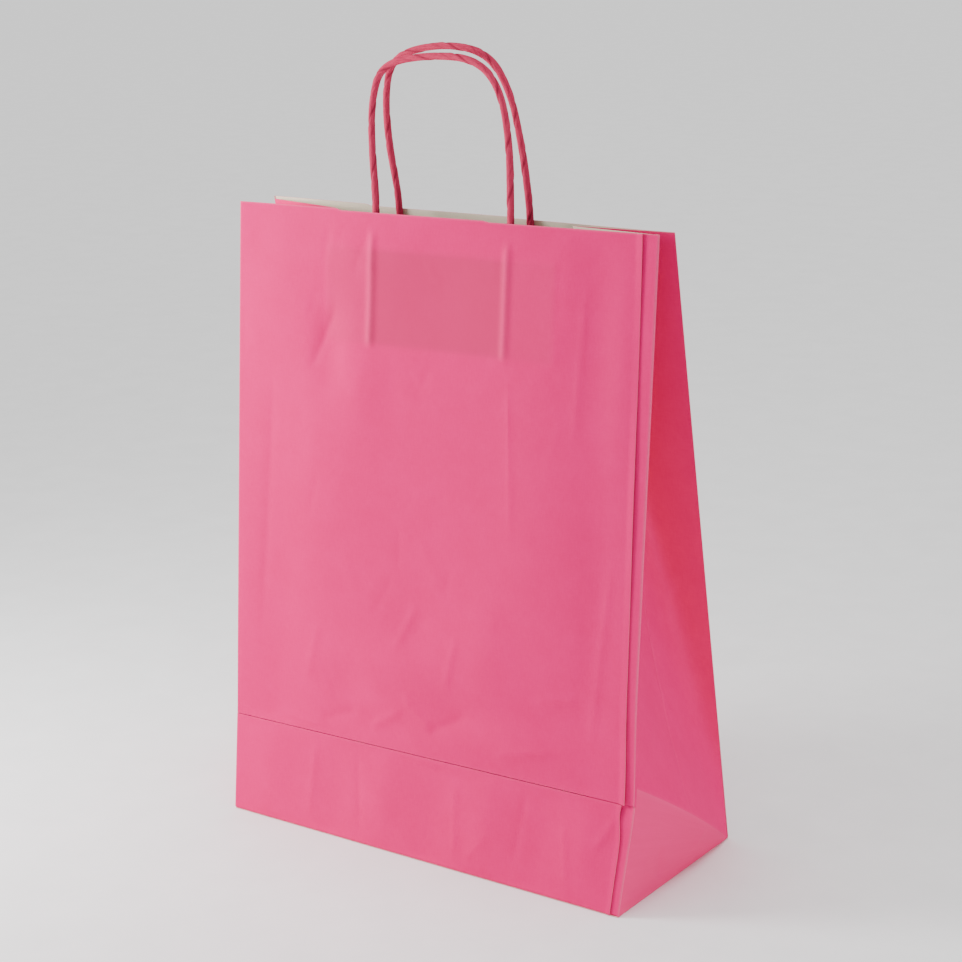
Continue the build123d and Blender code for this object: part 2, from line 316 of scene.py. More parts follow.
# Each point: across the bag, back and up from the place where the cord passes the mouth.
FRONT_LOOP = (
    (-0.0370, 0.0003, 0.0085),
    (-0.0390, 0.0009, 0.0310),
    (-0.0391, 0.0020, 0.0540),
    (-0.0330, 0.0034, 0.0710),
    (-0.0035, 0.0043, 0.0755),
    (0.0225, 0.0041, 0.0740),
    (0.0360, 0.0030, 0.0605),
    (0.0407, 0.0014, 0.0350),
    (0.0405, 0.0003, 0.0085),
)
BACK_LOOP = (
    (-0.0375, -0.0002, 0.0085),
    (-0.0412, -0.0008, 0.0305),
    (-0.0418, -0.0016, 0.0545),
    (-0.0358, -0.0026, 0.0740),
    (-0.0070, -0.0032, 0.0810),
    (0.0210, -0.0031, 0.0780),
    (0.0330, -0.0022, 0.0605),
    (0.0383, -0.0010, 0.0335),
    (0.0410, -0.0002, 0.0085),
)


def leg_point(wall_at, length, x, below):
    """Middle of a cord against its wall, this far below the mouth."""
    place = wall_at(np.array([x]), np.array([length - below]), CORD_DEPTH)[0]
    return Vector(place)


def cord_route(wall_at, length, loop, mouth, into):
    """All the points of one handle's cord, from one patch edge round to the other."""
    left, right = loop[0][0], loop[-1][0]
    passes = mouth + into * CORD_DEPTH
    route = [leg_point(wall_at, length, left, below * MM) for below in (16, 9, 1)]
    for x, back, up in loop:
        wall_shift = leg_point(wall_at, length, x, 0).y - passes.y
        fade = 1 - min(1, up / (70 * MM))
        route.append(passes + Vector((x, back + wall_shift * fade, up)))
    route += [leg_point(wall_at, length, right, below * MM) for below in (1, 9, 16)]
    return route


def spline_through(name, route):
    """A smooth line along a given route, as closely spaced points."""
    line = bpy.data.curves.new(name, "CURVE")
    line.dimensions = "3D"
    line.resolution_u = 24
    run = line.splines.new("NURBS")
    run.points.add(len(route) - 1)
    for point, place in zip(run.points, route):
        point.co = (*place, 1)
    run.order_u = 3
    run.use_endpoint_u = True
    holder = bpy.data.objects.new(name, line)
    mesh = bpy.data.meshes.new_from_object(holder)
    places = np.array([v.co for v in mesh.vertices])
    bpy.data.meshes.remove(mesh)
    bpy.data.objects.remove(holder)
    bpy.data.curves.remove(line)
    return places


def evenly(places, spacing):
    """The same line with points at an even spacing."""
    gaps = np.linalg.norm(np.diff(places, axis=0), axis=1)
    along = np.concatenate([[0], np.cumsum(gaps)])
    wanted = np.linspace(0, along[-1], int(along[-1] / spacing) + 1)
    return np.stack([np.interp(wanted, along, places[:, i]) for i in range(3)], axis=1), wanted


# %% [markdown]
# ## Twisted paper
# The cord is a strip of paper rolled tight and twisted, so one seam runs round it in a long spiral,
# with a shallow valley beside a slightly raised lip. The tube is built ring by ring along the line:
# its radius dips at the spiral, swells a little where the twist is slacker, and an attribute keeps
# how close each point is to the seam, for the finish to paint shade into the groove.

# %% Cord maker
def twisted_cord(name, places, along, start_turn=0.0, pitch=25 * MM, sides=28):
    """A closed tube with a spiral seam; returns the object."""
    along_dirs = np.gradient(places, axis=0)
    along_dirs /= np.linalg.norm(along_dirs, axis=1)[:, None]
    across = np.cross(along_dirs[0], (1.0, 0.2, 0.1))
    across /= np.linalg.norm(across)
    dice = random.Random(name)
    slack = [(dice.uniform(0.9, 2.2), dice.uniform(0, 6.3), dice.uniform(0.01, 0.03)) for _ in range(4)]
    around = np.linspace(0, 2 * math.pi, sides, endpoint=False)
    rings, seams = [], []
    for place, direction, distance in zip(places, along_dirs, along):
        across = across - direction * (across @ direction)
        across /= np.linalg.norm(across)
        other = np.cross(direction, across)
        drift = sum(size * math.sin(speed * distance * 60 + phase) for speed, phase, size in slack)
        spiral = around - 2 * math.pi * distance / pitch - start_turn - 8 * drift
        from_seam = (spiral + math.pi) % (2 * math.pi) - math.pi
        second = (spiral - 2.5 + math.pi) % (2 * math.pi) - math.pi
        groove = 0.17 * hump(from_seam, 0.33) - 0.07 * hump(from_seam - 0.62, 0.4)
        fine = 0.05 * hump(second, 0.22)
        radius = CORD / 2 * (0.99 + drift - groove - fine)
        ring = place + radius[:, None] * (np.cos(around)[:, None] * across + np.sin(around)[:, None] * other)
        rings.append(ring)
        seams.append(hump(from_seam, 0.30) + 0.5 * hump(second, 0.2))
    count = len(rings)
    verts = np.concatenate(rings + [places[:1], places[-1:]])
    faces = []
    for ring in range(count - 1):
        for side in range(sides):
            after = (side + 1) % sides
            low, high = ring * sides, (ring + 1) * sides
            faces.append((low + side, low + after, high + after, high + side))
    for side in range(sides):
        after = (side + 1) % sides
        faces.append((count * sides, after, side))
        faces.append((count * sides + 1, (count - 1) * sides + side, (count - 1) * sides + after))
    mesh = bpy.data.meshes.new(name)
    mesh.from_pydata(verts.tolist(), [], faces)
    # closeness to the seam, used to paint shade into its groove
    seam = mesh.attributes.new("seam", "FLOAT", "POINT")
    seam.data.foreach_set("value", np.concatenate([*seams, [0, 0]]).astype(np.float32))
    turn = mesh.uv_layers.new(name="UVMap")
    lengthwise = np.concatenate([np.repeat(along, sides), [along[0], along[-1]]])
    angle = np.concatenate([np.tile(around, count), [0, 0]])
    corner = np.array([loop.vertex_index for loop in mesh.loops])
    uv = np.stack([lengthwise[corner], angle[corner] * CORD / 2], axis=1)
    turn.data.foreach_set("uv", uv.astype(np.float32).ravel())
    mesh.polygons.foreach_set("use_smooth", [True] * len(mesh.polygons))
    mesh.update()
    tube = bpy.data.objects.new(name, mesh)
    bpy.context.collection.objects.link(tube)
    return tube


# %% [markdown]
# ## Both handles
# The visible cord is one piece from patch to patch. It bends between its wall and its own free loop
# just above the mouth, where a real cord gives. The glued ends are short straight pieces below.

# %% Make the handles
cords = {}
HANDLES = (
    ("front", front_at, FRONT_LENGTH, FRONT_LOOP, FRONT_MOUTH, INTO_FRONT, FRONT_UP, 0.4),
    ("back", back_at, BACK_LENGTH, BACK_LOOP, BACK_MOUTH, INTO_BACK, BACK_UP, 2.1),
)
for side, wall_at, length, loop, mouth, into, up, turn in HANDLES:
    route = cord_route(wall_at, length, loop, mouth, into)
    places, along = evenly(spline_through(side + "_line", route), 0.6 * MM)
    tube = twisted_cord(side + "_cord", places, along, turn)
    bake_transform(tube)
    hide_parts(side + "_handle", side + "_cord_bends")
    cords[side] = tube
    print(side, "cord", round(float(along[-1]) * 1000, 1), "mm, faces", len(tube.data.polygons))
    for place, x in (("left", loop[0][0]), ("right", loop[-1][0])):
        below = (PATCH_DROP + 0.2 * MM, PATCH_DROP + PATCH_HEIGHT - LEG_END)
        ends = [leg_point(wall_at, length, x, b) for b in below]
        line, reach = evenly(np.array([ends[1], ends[0]]), 0.8 * MM)
        end = twisted_cord(f"{side}_cord_end_{place}", line, reach, turn)
        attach(end, side + "_wall")
        if place == "left":
            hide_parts(side + "_cord_legs")
        cords[f"{side}_{place}"] = end

# %% [markdown]
# ## Making a sheet of paper
# Every facet starts as a grid whose columns and rows are closer together where the paper bends
# sharply. The grid is laid on its wall's surface, then given a paper's thickness. One face is the
# printed side, the other the bare cream side, and the narrow rim is the cut edge, so each gets its
# own finish. The lay-out keeps the flat paper's own distances, in metres, so the fibres run true.

# %% Sheet maker
PRINTED, CUT_RIM = 0, 2    # places of these finishes in a sheet's list; 1 is the bare inside


def closer_at(start, stop, step, places=(), reach=4 * MM, fine=0.5 * MM):
    """Steps from start to stop that get finer near the given places."""
    spots = [start]
    while spots[-1] < stop - 1e-9:
        near = min([abs(spots[-1] - place) for place in places], default=1.0)
        size = fine if near < reach else min(step, fine + (near - reach) * 0.6)
        spots.append(min(stop, spots[-1] + size))
    if len(spots) > 2 and spots[-1] - spots[-2] < 0.3 * fine:
        spots.pop(-2)
    return np.array(spots)


def finish_rims(sheet, columns, rows, cut):
    """Only an edge that the knife cut shows bare; elsewhere the paper folds on into the next piece."""
    flat = sheet.data.uv_layers.active.data
    edges = (("left", 0, columns[0]), ("right", 0, columns[-1]), ("low", 1, rows[0]), ("high", 1, rows[-1]))
    bare = [(axis, place) for edge, axis, place in edges if edge in cut]
    for face in sheet.data.polygons:
        if face.material_index == CUT_RIM:
            spots = [flat[corner].uv for corner in face.loop_indices]
            on_cut = any(all(abs(spot[axis] - place) < 1e-5 for spot in spots) for axis, place in bare)
            face.material_index = CUT_RIM if on_cut else PRINTED


def add_amount(sheet, label, amount, x, s):
    """Keeps a value from 0 to 1 at each point of a sheet, for its finish."""
    values = sheet.data.attributes.new(label, "FLOAT", "POINT")
    given = amount(x, s) if amount else np.zeros_like(x)
    values.data.foreach_set("value", given.astype(np.float32))


def paper_sheet(name, columns, rows, place, finishes, worn_and_lit=None, patch_shade=None, thickness=PAPER,
                cut=("left", "right", "low", "high")):
    """A solid sheet; place(x, s) lays flat distances out in the bag's frame, printed side outwards."""
    bpy.ops.object.select_all(action="DESELECT")
    bpy.ops.mesh.primitive_grid_add(x_subdivisions=len(columns) - 1, y_subdivisions=len(rows) - 1)
    sheet = bpy.context.object
    sheet.name = sheet.data.name = name
    x, s = np.tile(columns, len(rows)), np.repeat(rows, len(columns))
    sheet.data.vertices.foreach_set("co", place(x, s).astype(np.float32).ravel())
    corner = np.array([loop.vertex_index for loop in sheet.data.loops])
    uv = np.stack([x[corner], s[corner]], axis=1)
    sheet.data.uv_layers.active.data.foreach_set("uv", uv.astype(np.float32).ravel())
    # rubbed-off ink, and on the gusset feet also painted light
    add_amount(sheet, "worn_and_lit", worn_and_lit, x, s)
    # painted shade where a handle patch lies behind the wall
    add_amount(sheet, "patch_shade", patch_shade, x, s)
    for finish in finishes:
        sheet.data.materials.append(MATERIALS.get(finish))
    sheet.data.update()
    solid = sheet.modifiers.new("paper", "SOLIDIFY")
    solid.thickness = thickness
    solid.offset = -1
    solid.use_even_offset = True
    solid.material_offset = 1
    solid.material_offset_rim = CUT_RIM
    bpy.ops.object.modifier_apply(modifier=solid.name)
    finish_rims(sheet, columns, rows, cut)
    bpy.ops.object.shade_smooth_by_angle(angle=math.radians(50))
    print(name, len(sheet.data.polygons), "faces")
    return sheet


# %% [markdown]
# ## Finishes
# The colours come from the material's own make: printed pink outside, bare cream inside, with
# painted light and shade in three places: a duller pink behind the handle patches, lighter gusset
# feet, and a darker spiral seam on the cord. A shared group, `kraft_grain`, gives what every kraft
# paper has: long fibres that lie along the sheet, cloudy blotches where the pulp was thicker, and a
# fine tooth that catches the light. Another says where folds and edges have lost some ink, and also
# paints the gusset feet lighter, as painted light.

# %% Shared node groups
def new_group(name, outputs, inputs=()):
    """A node group with named outputs and inputs; returns (group, its input node, its output node)."""
    group = bpy.data.node_groups.new(name, "ShaderNodeTree")
    for label, kind in inputs:
        group.interface.new_socket(label, in_out="INPUT", socket_type=kind)
    for label, kind in outputs:
        group.interface.new_socket(label, in_out="OUTPUT", socket_type=kind)
    return group, group.nodes.new("NodeGroupInput"), group.nodes.new("NodeGroupOutput")


def noise(tree, vector, scale, detail=4, roughness=0.6):
    node = tree.nodes.new("ShaderNodeTexNoise")
    node.inputs["Scale"].default_value = scale
    node.inputs["Detail"].default_value = detail
    node.inputs["Roughness"].default_value = roughness
    tree.links.new(vector, node.inputs["Vector"])
    return node.outputs["Fac"]


def stretched(tree, vector, scale):
    node = tree.nodes.new("ShaderNodeMapping")
    node.inputs["Scale"].default_value = scale
    tree.links.new(vector, node.inputs["Vector"])
    return node.outputs["Vector"]


def combine(tree, operation, a, b):
    """Arithmetic on two values; either is a socket or a number."""
    node = tree.nodes.new("ShaderNodeMath")
    node.operation = operation
    for socket, value in zip(node.inputs, (a, b)):
        if isinstance(value, (int, float)):
            socket.default_value = value
        else:
            tree.links.new(value, socket)
    return node.outputs[0]


def weighed(tree, first, much, second, little):
    """Adds two values, each with its own weight."""
    one = combine(tree, "MULTIPLY", first, much)
    other = combine(tree, "MULTIPLY", second, little)
    return combine(tree, "ADD", one, other)


def kraft_grain():
    """Fibres and blotches of kraft paper: a shade around 0.5, and a normal."""
    outputs = (("Shade", "NodeSocketFloat"), ("Normal", "NodeSocketVector"))
    group, _, result = new_group("kraft_grain", outputs)
    flat = group.nodes.new("ShaderNodeUVMap")
    flat.uv_map = "UVMap"
    fibres = noise(group, stretched(group, flat.outputs["UV"], (1400, 260, 1)), 1.0, 5, 0.65)
    across = noise(group, stretched(group, flat.outputs["UV"], (300, 1100, 1)), 1.0, 4, 0.6)
    blotch = noise(group, flat.outputs["UV"], 70.0, 5, 0.6)
    cloud = noise(group, flat.outputs["UV"], 14.0, 3, 0.5)
    ribs = noise(group, stretched(group, flat.outputs["UV"], (420, 9, 1)), 1.0, 2, 0.4)
    tooth = weighed(group, fibres, 0.6, across, 0.4)
    broad = weighed(group, blotch, 0.5, cloud, 0.5)
    shade = weighed(group, tooth, 0.5, broad, 0.5)
    height = combine(group, "ADD", tooth, combine(group, "MULTIPLY", ribs, 0.5))
    height = combine(group, "ADD", height, combine(group, "MULTIPLY", blotch, 1.6))
    bump = group.nodes.new("ShaderNodeBump")
    bump.inputs["Strength"].default_value = 0.35
    bump.inputs["Distance"].default_value = 0.00012
    group.links.new(height, bump.inputs["Height"])
    group.links.new(shade, result.inputs["Shade"])
    group.links.new(bump.outputs["Normal"], result.inputs["Normal"])
    return group


def rub_and_light_group():
    """How much lighter the pink is painted: ink rubbed off at folds and edges, and painted light on the
    gusset feet, broken up by the grain.
    """
    outputs = (("Amount", "NodeSocketFloat"),)
    group, _, result = new_group("rub_and_light_group", outputs)
    # the sheet's ink wear, and on the gusset feet also painted light
    wear = group.nodes.new("ShaderNodeAttribute")
    wear.attribute_name = "worn_and_lit"
    flat = group.nodes.new("ShaderNodeUVMap")
    flat.uv_map = "UVMap"
    broken = noise(group, flat.outputs["UV"], 900.0, 4, 0.7)
    patchy = combine(group, "MULTIPLY", wear.outputs["Fac"], combine(group, "ADD", broken, 0.25))
    group.links.new(patchy, result.inputs["Amount"])
    return group


GRAIN, RUB_AND_LIGHT = kraft_grain(), rub_and_light_group()


def use_group(tree, group):
    node = tree.nodes.new("ShaderNodeGroup")
    node.node_tree = group
    return node


def mixed(tree, factor, first, second):
    """A colour between two; each is a socket or a linear colour."""
    node = tree.nodes.new("ShaderNodeMix")
    node.data_type = "RGBA"
    tree.links.new(factor, node.inputs["Factor"])
    sockets = [socket for socket in node.inputs if socket.type == "RGBA"]
    for socket, value in zip(sockets, (first, second)):
        if isinstance(value, tuple):
            socket.default_value = (*value, 1)
        else:
            tree.links.new(value, socket)
    return next(socket for socket in node.outputs if socket.type == "RGBA")


def ramp(tree, value, low, high):
    """The value spread from low..high to 0..1."""
    node = tree.nodes.new("ShaderNodeMapRange")
    node.inputs["From Min"].default_value = low
    node.inputs["From Max"].default_value = high
    tree.links.new(value, node.inputs["Value"])
    return node.outputs["Result"]


# %% [markdown]
# The pink ink is a strong, slightly bluish pink, and it is printed on brown-white paper, so its
# thinner places are lighter. The bare inside is cream. The patches are the same bare paper, and the
# cord's paper was dyed through, in a duller rose than the print. Where a patch lies behind a wall,
# the pink is painted duller, as painted shade for the light that the patch keeps from coming through.

# %% Materials
# painted shade: the duller pink where a handle patch behind the wall stops light coming through the paper
PATCH_SHADE_PINK = (0.56, 0.026, 0.110)
DULL = 0.05                # paper's own shine is faint


def paper_material(name, light, deep, roughness, worn_and_lit_pink=None):
    material = bpy.data.materials.new(name)
    material.use_nodes = True
    tree = material.node_tree
    surface = tree.nodes["Principled BSDF"]
    grain = use_group(tree, GRAIN)
    colour = mixed(tree, ramp(tree, grain.outputs["Shade"], 0.38, 0.62), deep, light)
    if worn_and_lit_pink:
        # painted shade: duller pink where a patch lies behind the paper
        patch_shade = tree.nodes.new("ShaderNodeAttribute")
        patch_shade.attribute_name = "patch_shade"
        colour = mixed(tree, patch_shade.outputs["Fac"], colour, PATCH_SHADE_PINK)
        # lighter pink for rubbed-off ink at folds and edges, and painted light on the gusset feet
        colour = mixed(tree, use_group(tree, RUB_AND_LIGHT).outputs["Amount"], colour, worn_and_lit_pink)
    tree.links.new(colour, surface.inputs["Base Color"])
    tree.links.new(grain.outputs["Normal"], surface.inputs["Normal"])
    surface.inputs["Roughness"].default_value = roughness
    surface.inputs["Specular IOR Level"].default_value = DULL
    MATERIALS[name] = material
    return material


MATERIALS = {}
paper_material("pink_print", (0.88, 0.004, 0.186), (0.80, 0.001, 0.152), 0.65, (0.92, 0.13, 0.28))
paper_material("cream_inside", (0.93, 0.83, 0.68), (0.86, 0.75, 0.59), 0.8)
paper_material("cut_edge", (0.86, 0.22, 0.32), (0.78, 0.16, 0.26), 0.8)
paper_material("patch_paper", (0.82, 0.72, 0.60), (0.72, 0.60, 0.48), 0.8)


def cord_material():
    """Dyed twisted paper, with painted shade: the seam's valley is painted darker, the proud turns are
    paler.
    """
    material = bpy.data.materials.new("cord_paper")
    material.use_nodes = True
    tree = material.node_tree
    surface = tree.nodes["Principled BSDF"]
    flat = tree.nodes.new("ShaderNodeUVMap")
    flat.uv_map = "UVMap"
    seam = tree.nodes.new("ShaderNodeAttribute")
    seam.attribute_name = "seam"
    streaks = noise(tree, stretched(tree, flat.outputs["UV"], (190, 1500, 1)), 1.0, 5, 0.65)
    crinkle = noise(tree, stretched(tree, flat.outputs["UV"], (700, 900, 1)), 1.0, 4, 0.6)
    colour = mixed(tree, ramp(tree, streaks, 0.35, 0.65), (0.46, 0.024, 0.075), (0.66, 0.050, 0.125))
    # painted shade: the spiral seam's groove painted darker
    colour = mixed(tree, combine(tree, "MULTIPLY", seam.outputs["Fac"], 0.75), colour, (0.22, 0.014, 0.035))
    bump = tree.nodes.new("ShaderNodeBump")
    bump.inputs["Strength"].default_value = 0.5
    bump.inputs["Distance"].default_value = 0.00015
    tree.links.new(combine(tree, "ADD", streaks, crinkle), bump.inputs["Height"])
    tree.links.new(colour, surface.inputs["Base Color"])
    tree.links.new(bump.outputs["Normal"], surface.inputs["Normal"])
    surface.inputs["Roughness"].default_value = 0.7
    surface.inputs["Specular IOR Level"].default_value = DULL
    MATERIALS["cord_paper"] = material
    return material


cord_material()
for tube in cords.values():
    tube.data.materials.append(MATERIALS["cord_paper"])
print("materials", sorted(MATERIALS))

# %% [markdown]
# ## The front wall's marks
# The handles are glued behind the front wall, so two ridges run down from the mouth, and the patch
# leaves a faint raised outline. Below, the wall has the broad soft waves of a sheet that was folded
# flat and opened by hand, and small buckles gather over the level crease.

# %% Front relief
CORD_X = {"front": (FRONT_LOOP[0][0], FRONT_LOOP[-1][0]), "back": (BACK_LOOP[0][0], BACK_LOOP[-1][0])}
FRONT_HOLLOWS = (
    (-92, 60, 16, 90, -1.4), (-60, 150, 30, 60, 1.5), (5, 100, 45, 50, -1.6), (62, 130, 26, 70, 1.4),
    (98, 80, 13, 80, -1.3), (-20, 42, 30, 13, 1.7), (-48, 28, 14, 11, -1.3), (22, 24, 20, 9, -1.4),
    (88, 210, 20, 50, -1.1), (-95, 225, 18, 40, 1.0), (55, 18, 26, 9, 1.2), (2, 236, 26, 26, -1.3),
    (-62, 205, 9, 24, -1.5), (-42, 182, 12, 20, 1.1), (74, 232, 12, 34, 0.9), (104, 200, 8, 60, 0.8),
    (-8, 66, 16, 18, -1.2), (36, 60, 14, 30, 1.0), (-30, 12, 22, 6, -0.9), (80, 34, 18, 14, -1.1),
)
FRONT_CREASES = (
    (-34, 8, -12, 22, 1.0, 1.8), (-14, 30, 6, 14, 0.9, 2.0), (2, 12, 26, 26, -0.9, 1.8),
    (-64, 8, -40, 16, -0.8, 2.2), (40, 9, 78, 18, 0.8, 2.4), (-104, 40, -97, 190, -0.5, 3.0),
    (95, 20, 104, 120, 0.6, 2.6), (-58, 222, -74, 186, -0.9, 2.4), (43, 200, 48, 110, 0.45, 2.4),
    (-20, 50, -6, 78, 0.7, 2.4), (12, 34, 18, 66, 0.6, 2.2), (60, 40, 90, 46, 0.6, 2.2),
    (-74, 24, -66, 60, 0.5, 2.4), (-100, 6, -60, 4, 0.5, 1.6), (84, 246, 80, 160, 0.5, 2.6),
)
FRONT_SCATTER = scattered_creases(5, 46, 215, 262, 0.34)


PATCH_BESIDE = 29 * MM     # the patch reaches this far past the cords on each side
RIDGE = 0.95 * MM          # a glued cord lifts the paper this much


def cord_ridges(x, s, length, cord_x, height):
    """Raised lines over the glued cord ends, and the patch's faint outline."""
    top, low = length - PATCH_DROP, length - PATCH_DROP - PATCH_HEIGHT
    under = smooth((s - low + 1 * MM) / (5 * MM)) * smooth((top + 9 * MM - s) / (9 * MM))
    total = np.zeros_like(x)
    for middle in cord_x:
        total += height * under * hump(x - middle, 2.3 * MM)
    left, right = min(cord_x) - PATCH_BESIDE, max(cord_x) + PATCH_BESIDE
    inside = smooth((x - left) / (2.5 * MM)) * smooth((right - x) / (2.5 * MM))
    within = smooth((s - low) / (2.5 * MM)) * smooth((top - s) / (2.5 * MM))
    return total + 0.22 * MM * inside * within


def edge_calm(x, s, length):
    """Relief fades out at the corners, the crease and the mouth, where other sheets join."""
    sides = smooth((HALF_WIDTH - np.abs(x)) / (9 * MM))
    return sides * smooth(s / (5 * MM)) * smooth((length - s) / (7 * MM))


def mouth_calm(x):
    return smooth((HALF_WIDTH - np.abs(x)) / (14 * MM))


def front_relief(x, s):
    soft = hollows(x, s, FRONT_HOLLOWS) + creases(x, s, FRONT_CREASES + tuple(FRONT_SCATTER))
    wave = 0.25 * MM * np.sin(x / (17 * MM) + 0.8) * np.sin(s / (61 * MM) + 0.4)
    mouth_wave = 0.5 * MM * np.sin(x / (31 * MM) + 1.9) * smooth((s - 215 * MM) / (50 * MM))
    ridges = cord_ridges(x, s, FRONT_LENGTH, CORD_X["front"], RIDGE)
    return (soft + wave) * edge_calm(x, s, FRONT_LENGTH) + mouth_wave * mouth_calm(x) + ridges


print("front ridges at", CORD_X["front"])

# %% [markdown]
# ## The front sheet
# One sheet with a free cut edge at the right, where it was glued over the seam flap. The edge isn't
# quite parallel to the corner, because the sheet went a little askew through the gluing machine, and
# it stands off by half a millimetre, so it throws the thin shadow that shows the seam.

# %% Front wall
EDGE = 115.4 * MM
EDGE_DRIFT = 3.4 * MM      # the cut edge is this much further from the corner at the mouth
LIP = 120.25 * MM          # paper folded round a corner ends here, measured flat
TURNED = 124.4 * MM        # the seam flap reaches further, round into the gusset's groove


def seam_edge_shift(x, s):
    return -EDGE_DRIFT * (s / FRONT_LENGTH) ** 1.4 * smooth((x - 70 * MM) / (EDGE - 70 * MM))


def place_front(x, s):
    cut = cut_top(x, s, FRONT_LENGTH)
    over = x + seam_edge_shift(x, s)
    lifted = 0.6 + 0.3 * np.sin(s / (21 * MM) + 1.0) + 0.5 * hump(s, 14 * MM)
    stand_off = 0.8 * MM * lifted * smooth((x - EDGE + 4 * MM) / (4 * MM))
    return front_at(over, s + cut, -front_relief(over, s) - stand_off)


def corner_rub(x):
    return hump(np.abs(x) - HALF_WIDTH, 0.7 * MM)


def front_wear(x, s):
    side = corner_rub(x) + 0.25 * hump(x - EDGE, 0.35 * MM)
    top = 0.7 * hump(s - FRONT_LENGTH, 0.5 * MM)
    low = 0.12 * hump(s, 0.9 * MM)
    ridge = 0.18 * cord_ridges(x, s, FRONT_LENGTH, CORD_X["front"], MM) / MM
    return np.clip(side + top + low + ridge, 0, 1)


def front_patch_shade(x, s):
    """Painted shade: where the patch lies behind, less light comes through the paper, so its colour is
    painted duller.
    """
    left, right = CORD_X["front"]
    low, top = FRONT_LENGTH - PATCH_DROP - PATCH_HEIGHT, FRONT_LENGTH - PATCH_DROP
    tall = smooth((s - low) / (4 * MM)) * smooth((top - s) / (4 * MM))
    between = smooth((x - left) / (1.2 * MM)) * smooth((right - x) / (3 * MM))
    beside = (x - left + PATCH_BESIDE, right + PATCH_BESIDE - x)
    whole = smooth(beside[0] / (5 * MM)) * smooth(beside[1] / (5 * MM))
    return tall * (0.22 * whole + 0.33 * between)


PINK_OUTSIDE = ("pink_print", "cream_inside", "cut_edge")
front_columns = closer_at(-LIP, EDGE, 1.6 * MM, (-LIP, *CORD_X["front"], EDGE), 4 * MM)
front_rows = closer_at(0.2 * MM, FRONT_LENGTH, 1.9 * MM, (0, FRONT_LENGTH), 3 * MM, 0.6 * MM)
front_wall = paper_sheet("front_wall_sheet", front_columns, front_rows, place_front, PINK_OUTSIDE,
                         front_wear, front_patch_shade, cut=("right", "high"))
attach(front_wall, "front_wall")
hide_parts("front_panel")

# %% [markdown]
# The seam flap comes round the corner from the gusset and lies under the front sheet. Only a strip
# of it shows, beside the cut edge, and it is the fold at the bag's right corner.

# %% Seam flap
SEAM_DEPTH = PAPER + 0.07 * MM
SEAM_START = 95 * MM       # the flap's own cut edge, hidden behind the front sheet


def calm_right(x):
    return smooth((HALF_WIDTH - x) / (3 * MM))


def place_seam_flap(x, s):
    cut = cut_top(x, s, FRONT_LENGTH)
    return front_at(x, s + cut, SEAM_DEPTH - front_relief(x, s))


def corner_wear(x, s):
    return np.clip(corner_rub(x) + 0.6 * hump(s - FRONT_LENGTH, 0.4 * MM), 0, 1)


flap_columns = closer_at(SEAM_START, LIP, 1.5 * MM, (LIP,), 2.5 * MM, 0.3 * MM)
turned_columns = closer_at(SEAM_START, TURNED, 1.5 * MM, (TURNED, HALF_WIDTH), 3.5 * MM, 0.3 * MM)
seam_flap = paper_sheet("front_seam_strip", turned_columns, front_rows, place_seam_flap, PINK_OUTSIDE,
                        corner_wear, cut=("left", "high"))
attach(seam_flap, "front_wall")
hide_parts("front_seam_flap")

# %% [markdown]
# ## Below the crease
# The band belongs to the block bottom. It leans inwards, and it carries soft upright creases from
# the folding of the bottom. Its seam strip continues the one above.

# %% Lower band
BAND_HOLLOWS = (
    (-96, 26, 12, 30, 1.0), (-52, 24, 12, 30, -1.1), (-22, 30, 9, 26, 1.0), (8, 22, 12, 30, -1.0),
    (40, 26, 10, 26, 1.1), (72, 26, 12, 30, -1.1), (98, 30, 9, 20, 0.9),
)
BAND_CREASES = (
    (-70, 2, -66, 50, 0.6, 2.0), (-36, 4, -40, 48, -0.55, 1.8), (24, 3, 20, 46, 0.6, 2.0),
    (58, 8, 62, 50, -0.5, 1.8), (90, 4, 84, 40, 0.6, 1.8), (102, 28, 114, 47, 0.8, 1.6),
    (-20, 50, 36, 45, -0.5, 1.6), (30, 6, 44, 24, 0.5, 1.6),
)


def band_relief(x, s):
    marks = hollows(x, s, BAND_HOLLOWS) + creases(x, s, BAND_CREASES)
    return marks * edge_calm(x, s, BAND_LENGTH)


def place_band(x, s):
    stand_off = 0.45 * MM * smooth((x - EDGE + 3 * MM) / (3 * MM))
    notch = 2.0 * MM * smooth((x - 96 * MM) / (19 * MM)) * hump(s - BAND_LENGTH + 4 * MM, 9 * MM)
    return band_at(x - notch, s, -band_relief(x, s) - stand_off)


def band_wear(x, s):
    side = corner_rub(x) + 0.2 * hump(x - EDGE, 0.35 * MM)
    return np.clip(side + 0.3 * hump(s, 0.9 * MM) + 0.18 * hump(s - BAND_LENGTH, 0.9 * MM), 0, 1)


band_top = BAND_LENGTH - 0.15 * MM
band_rows = closer_at(0.0, band_top, 1.8 * MM, (0, band_top), 2.5 * MM, 0.4 * MM)
band_columns = closer_at(-LIP, EDGE, 1.6 * MM, (-LIP, EDGE), 3 * MM, 0.5 * MM)
band = paper_sheet("lower_band_sheet", band_columns, band_rows, place_band, PINK_OUTSIDE, band_wear,
                   cut=("right",))
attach(band, "base")
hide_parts("front_lower_band")


def place_band_strip(x, s):
    """The seam's fold below the level crease, a little deeper just under it."""
    dip = 0.5 * MM * hump(s - BAND_LENGTH, 9 * MM) * calm_right(x)
    return band_at(x, s, SEAM_DEPTH - band_relief(x, s) + dip)


band_strip = paper_sheet("lower_band_seam_strip", flap_columns, band_rows, place_band_strip, PINK_OUTSIDE,
                         corner_wear, cut=("left",))
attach(band_strip, "base")
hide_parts("seam_flap_foot")

# %% [markdown]
# ## The back wall
# The back is one unbroken sheet from the floor to the mouth. It carries the other handle, so it has
# its own ridges, and the bottom's fold left a level crease across it near the foot.

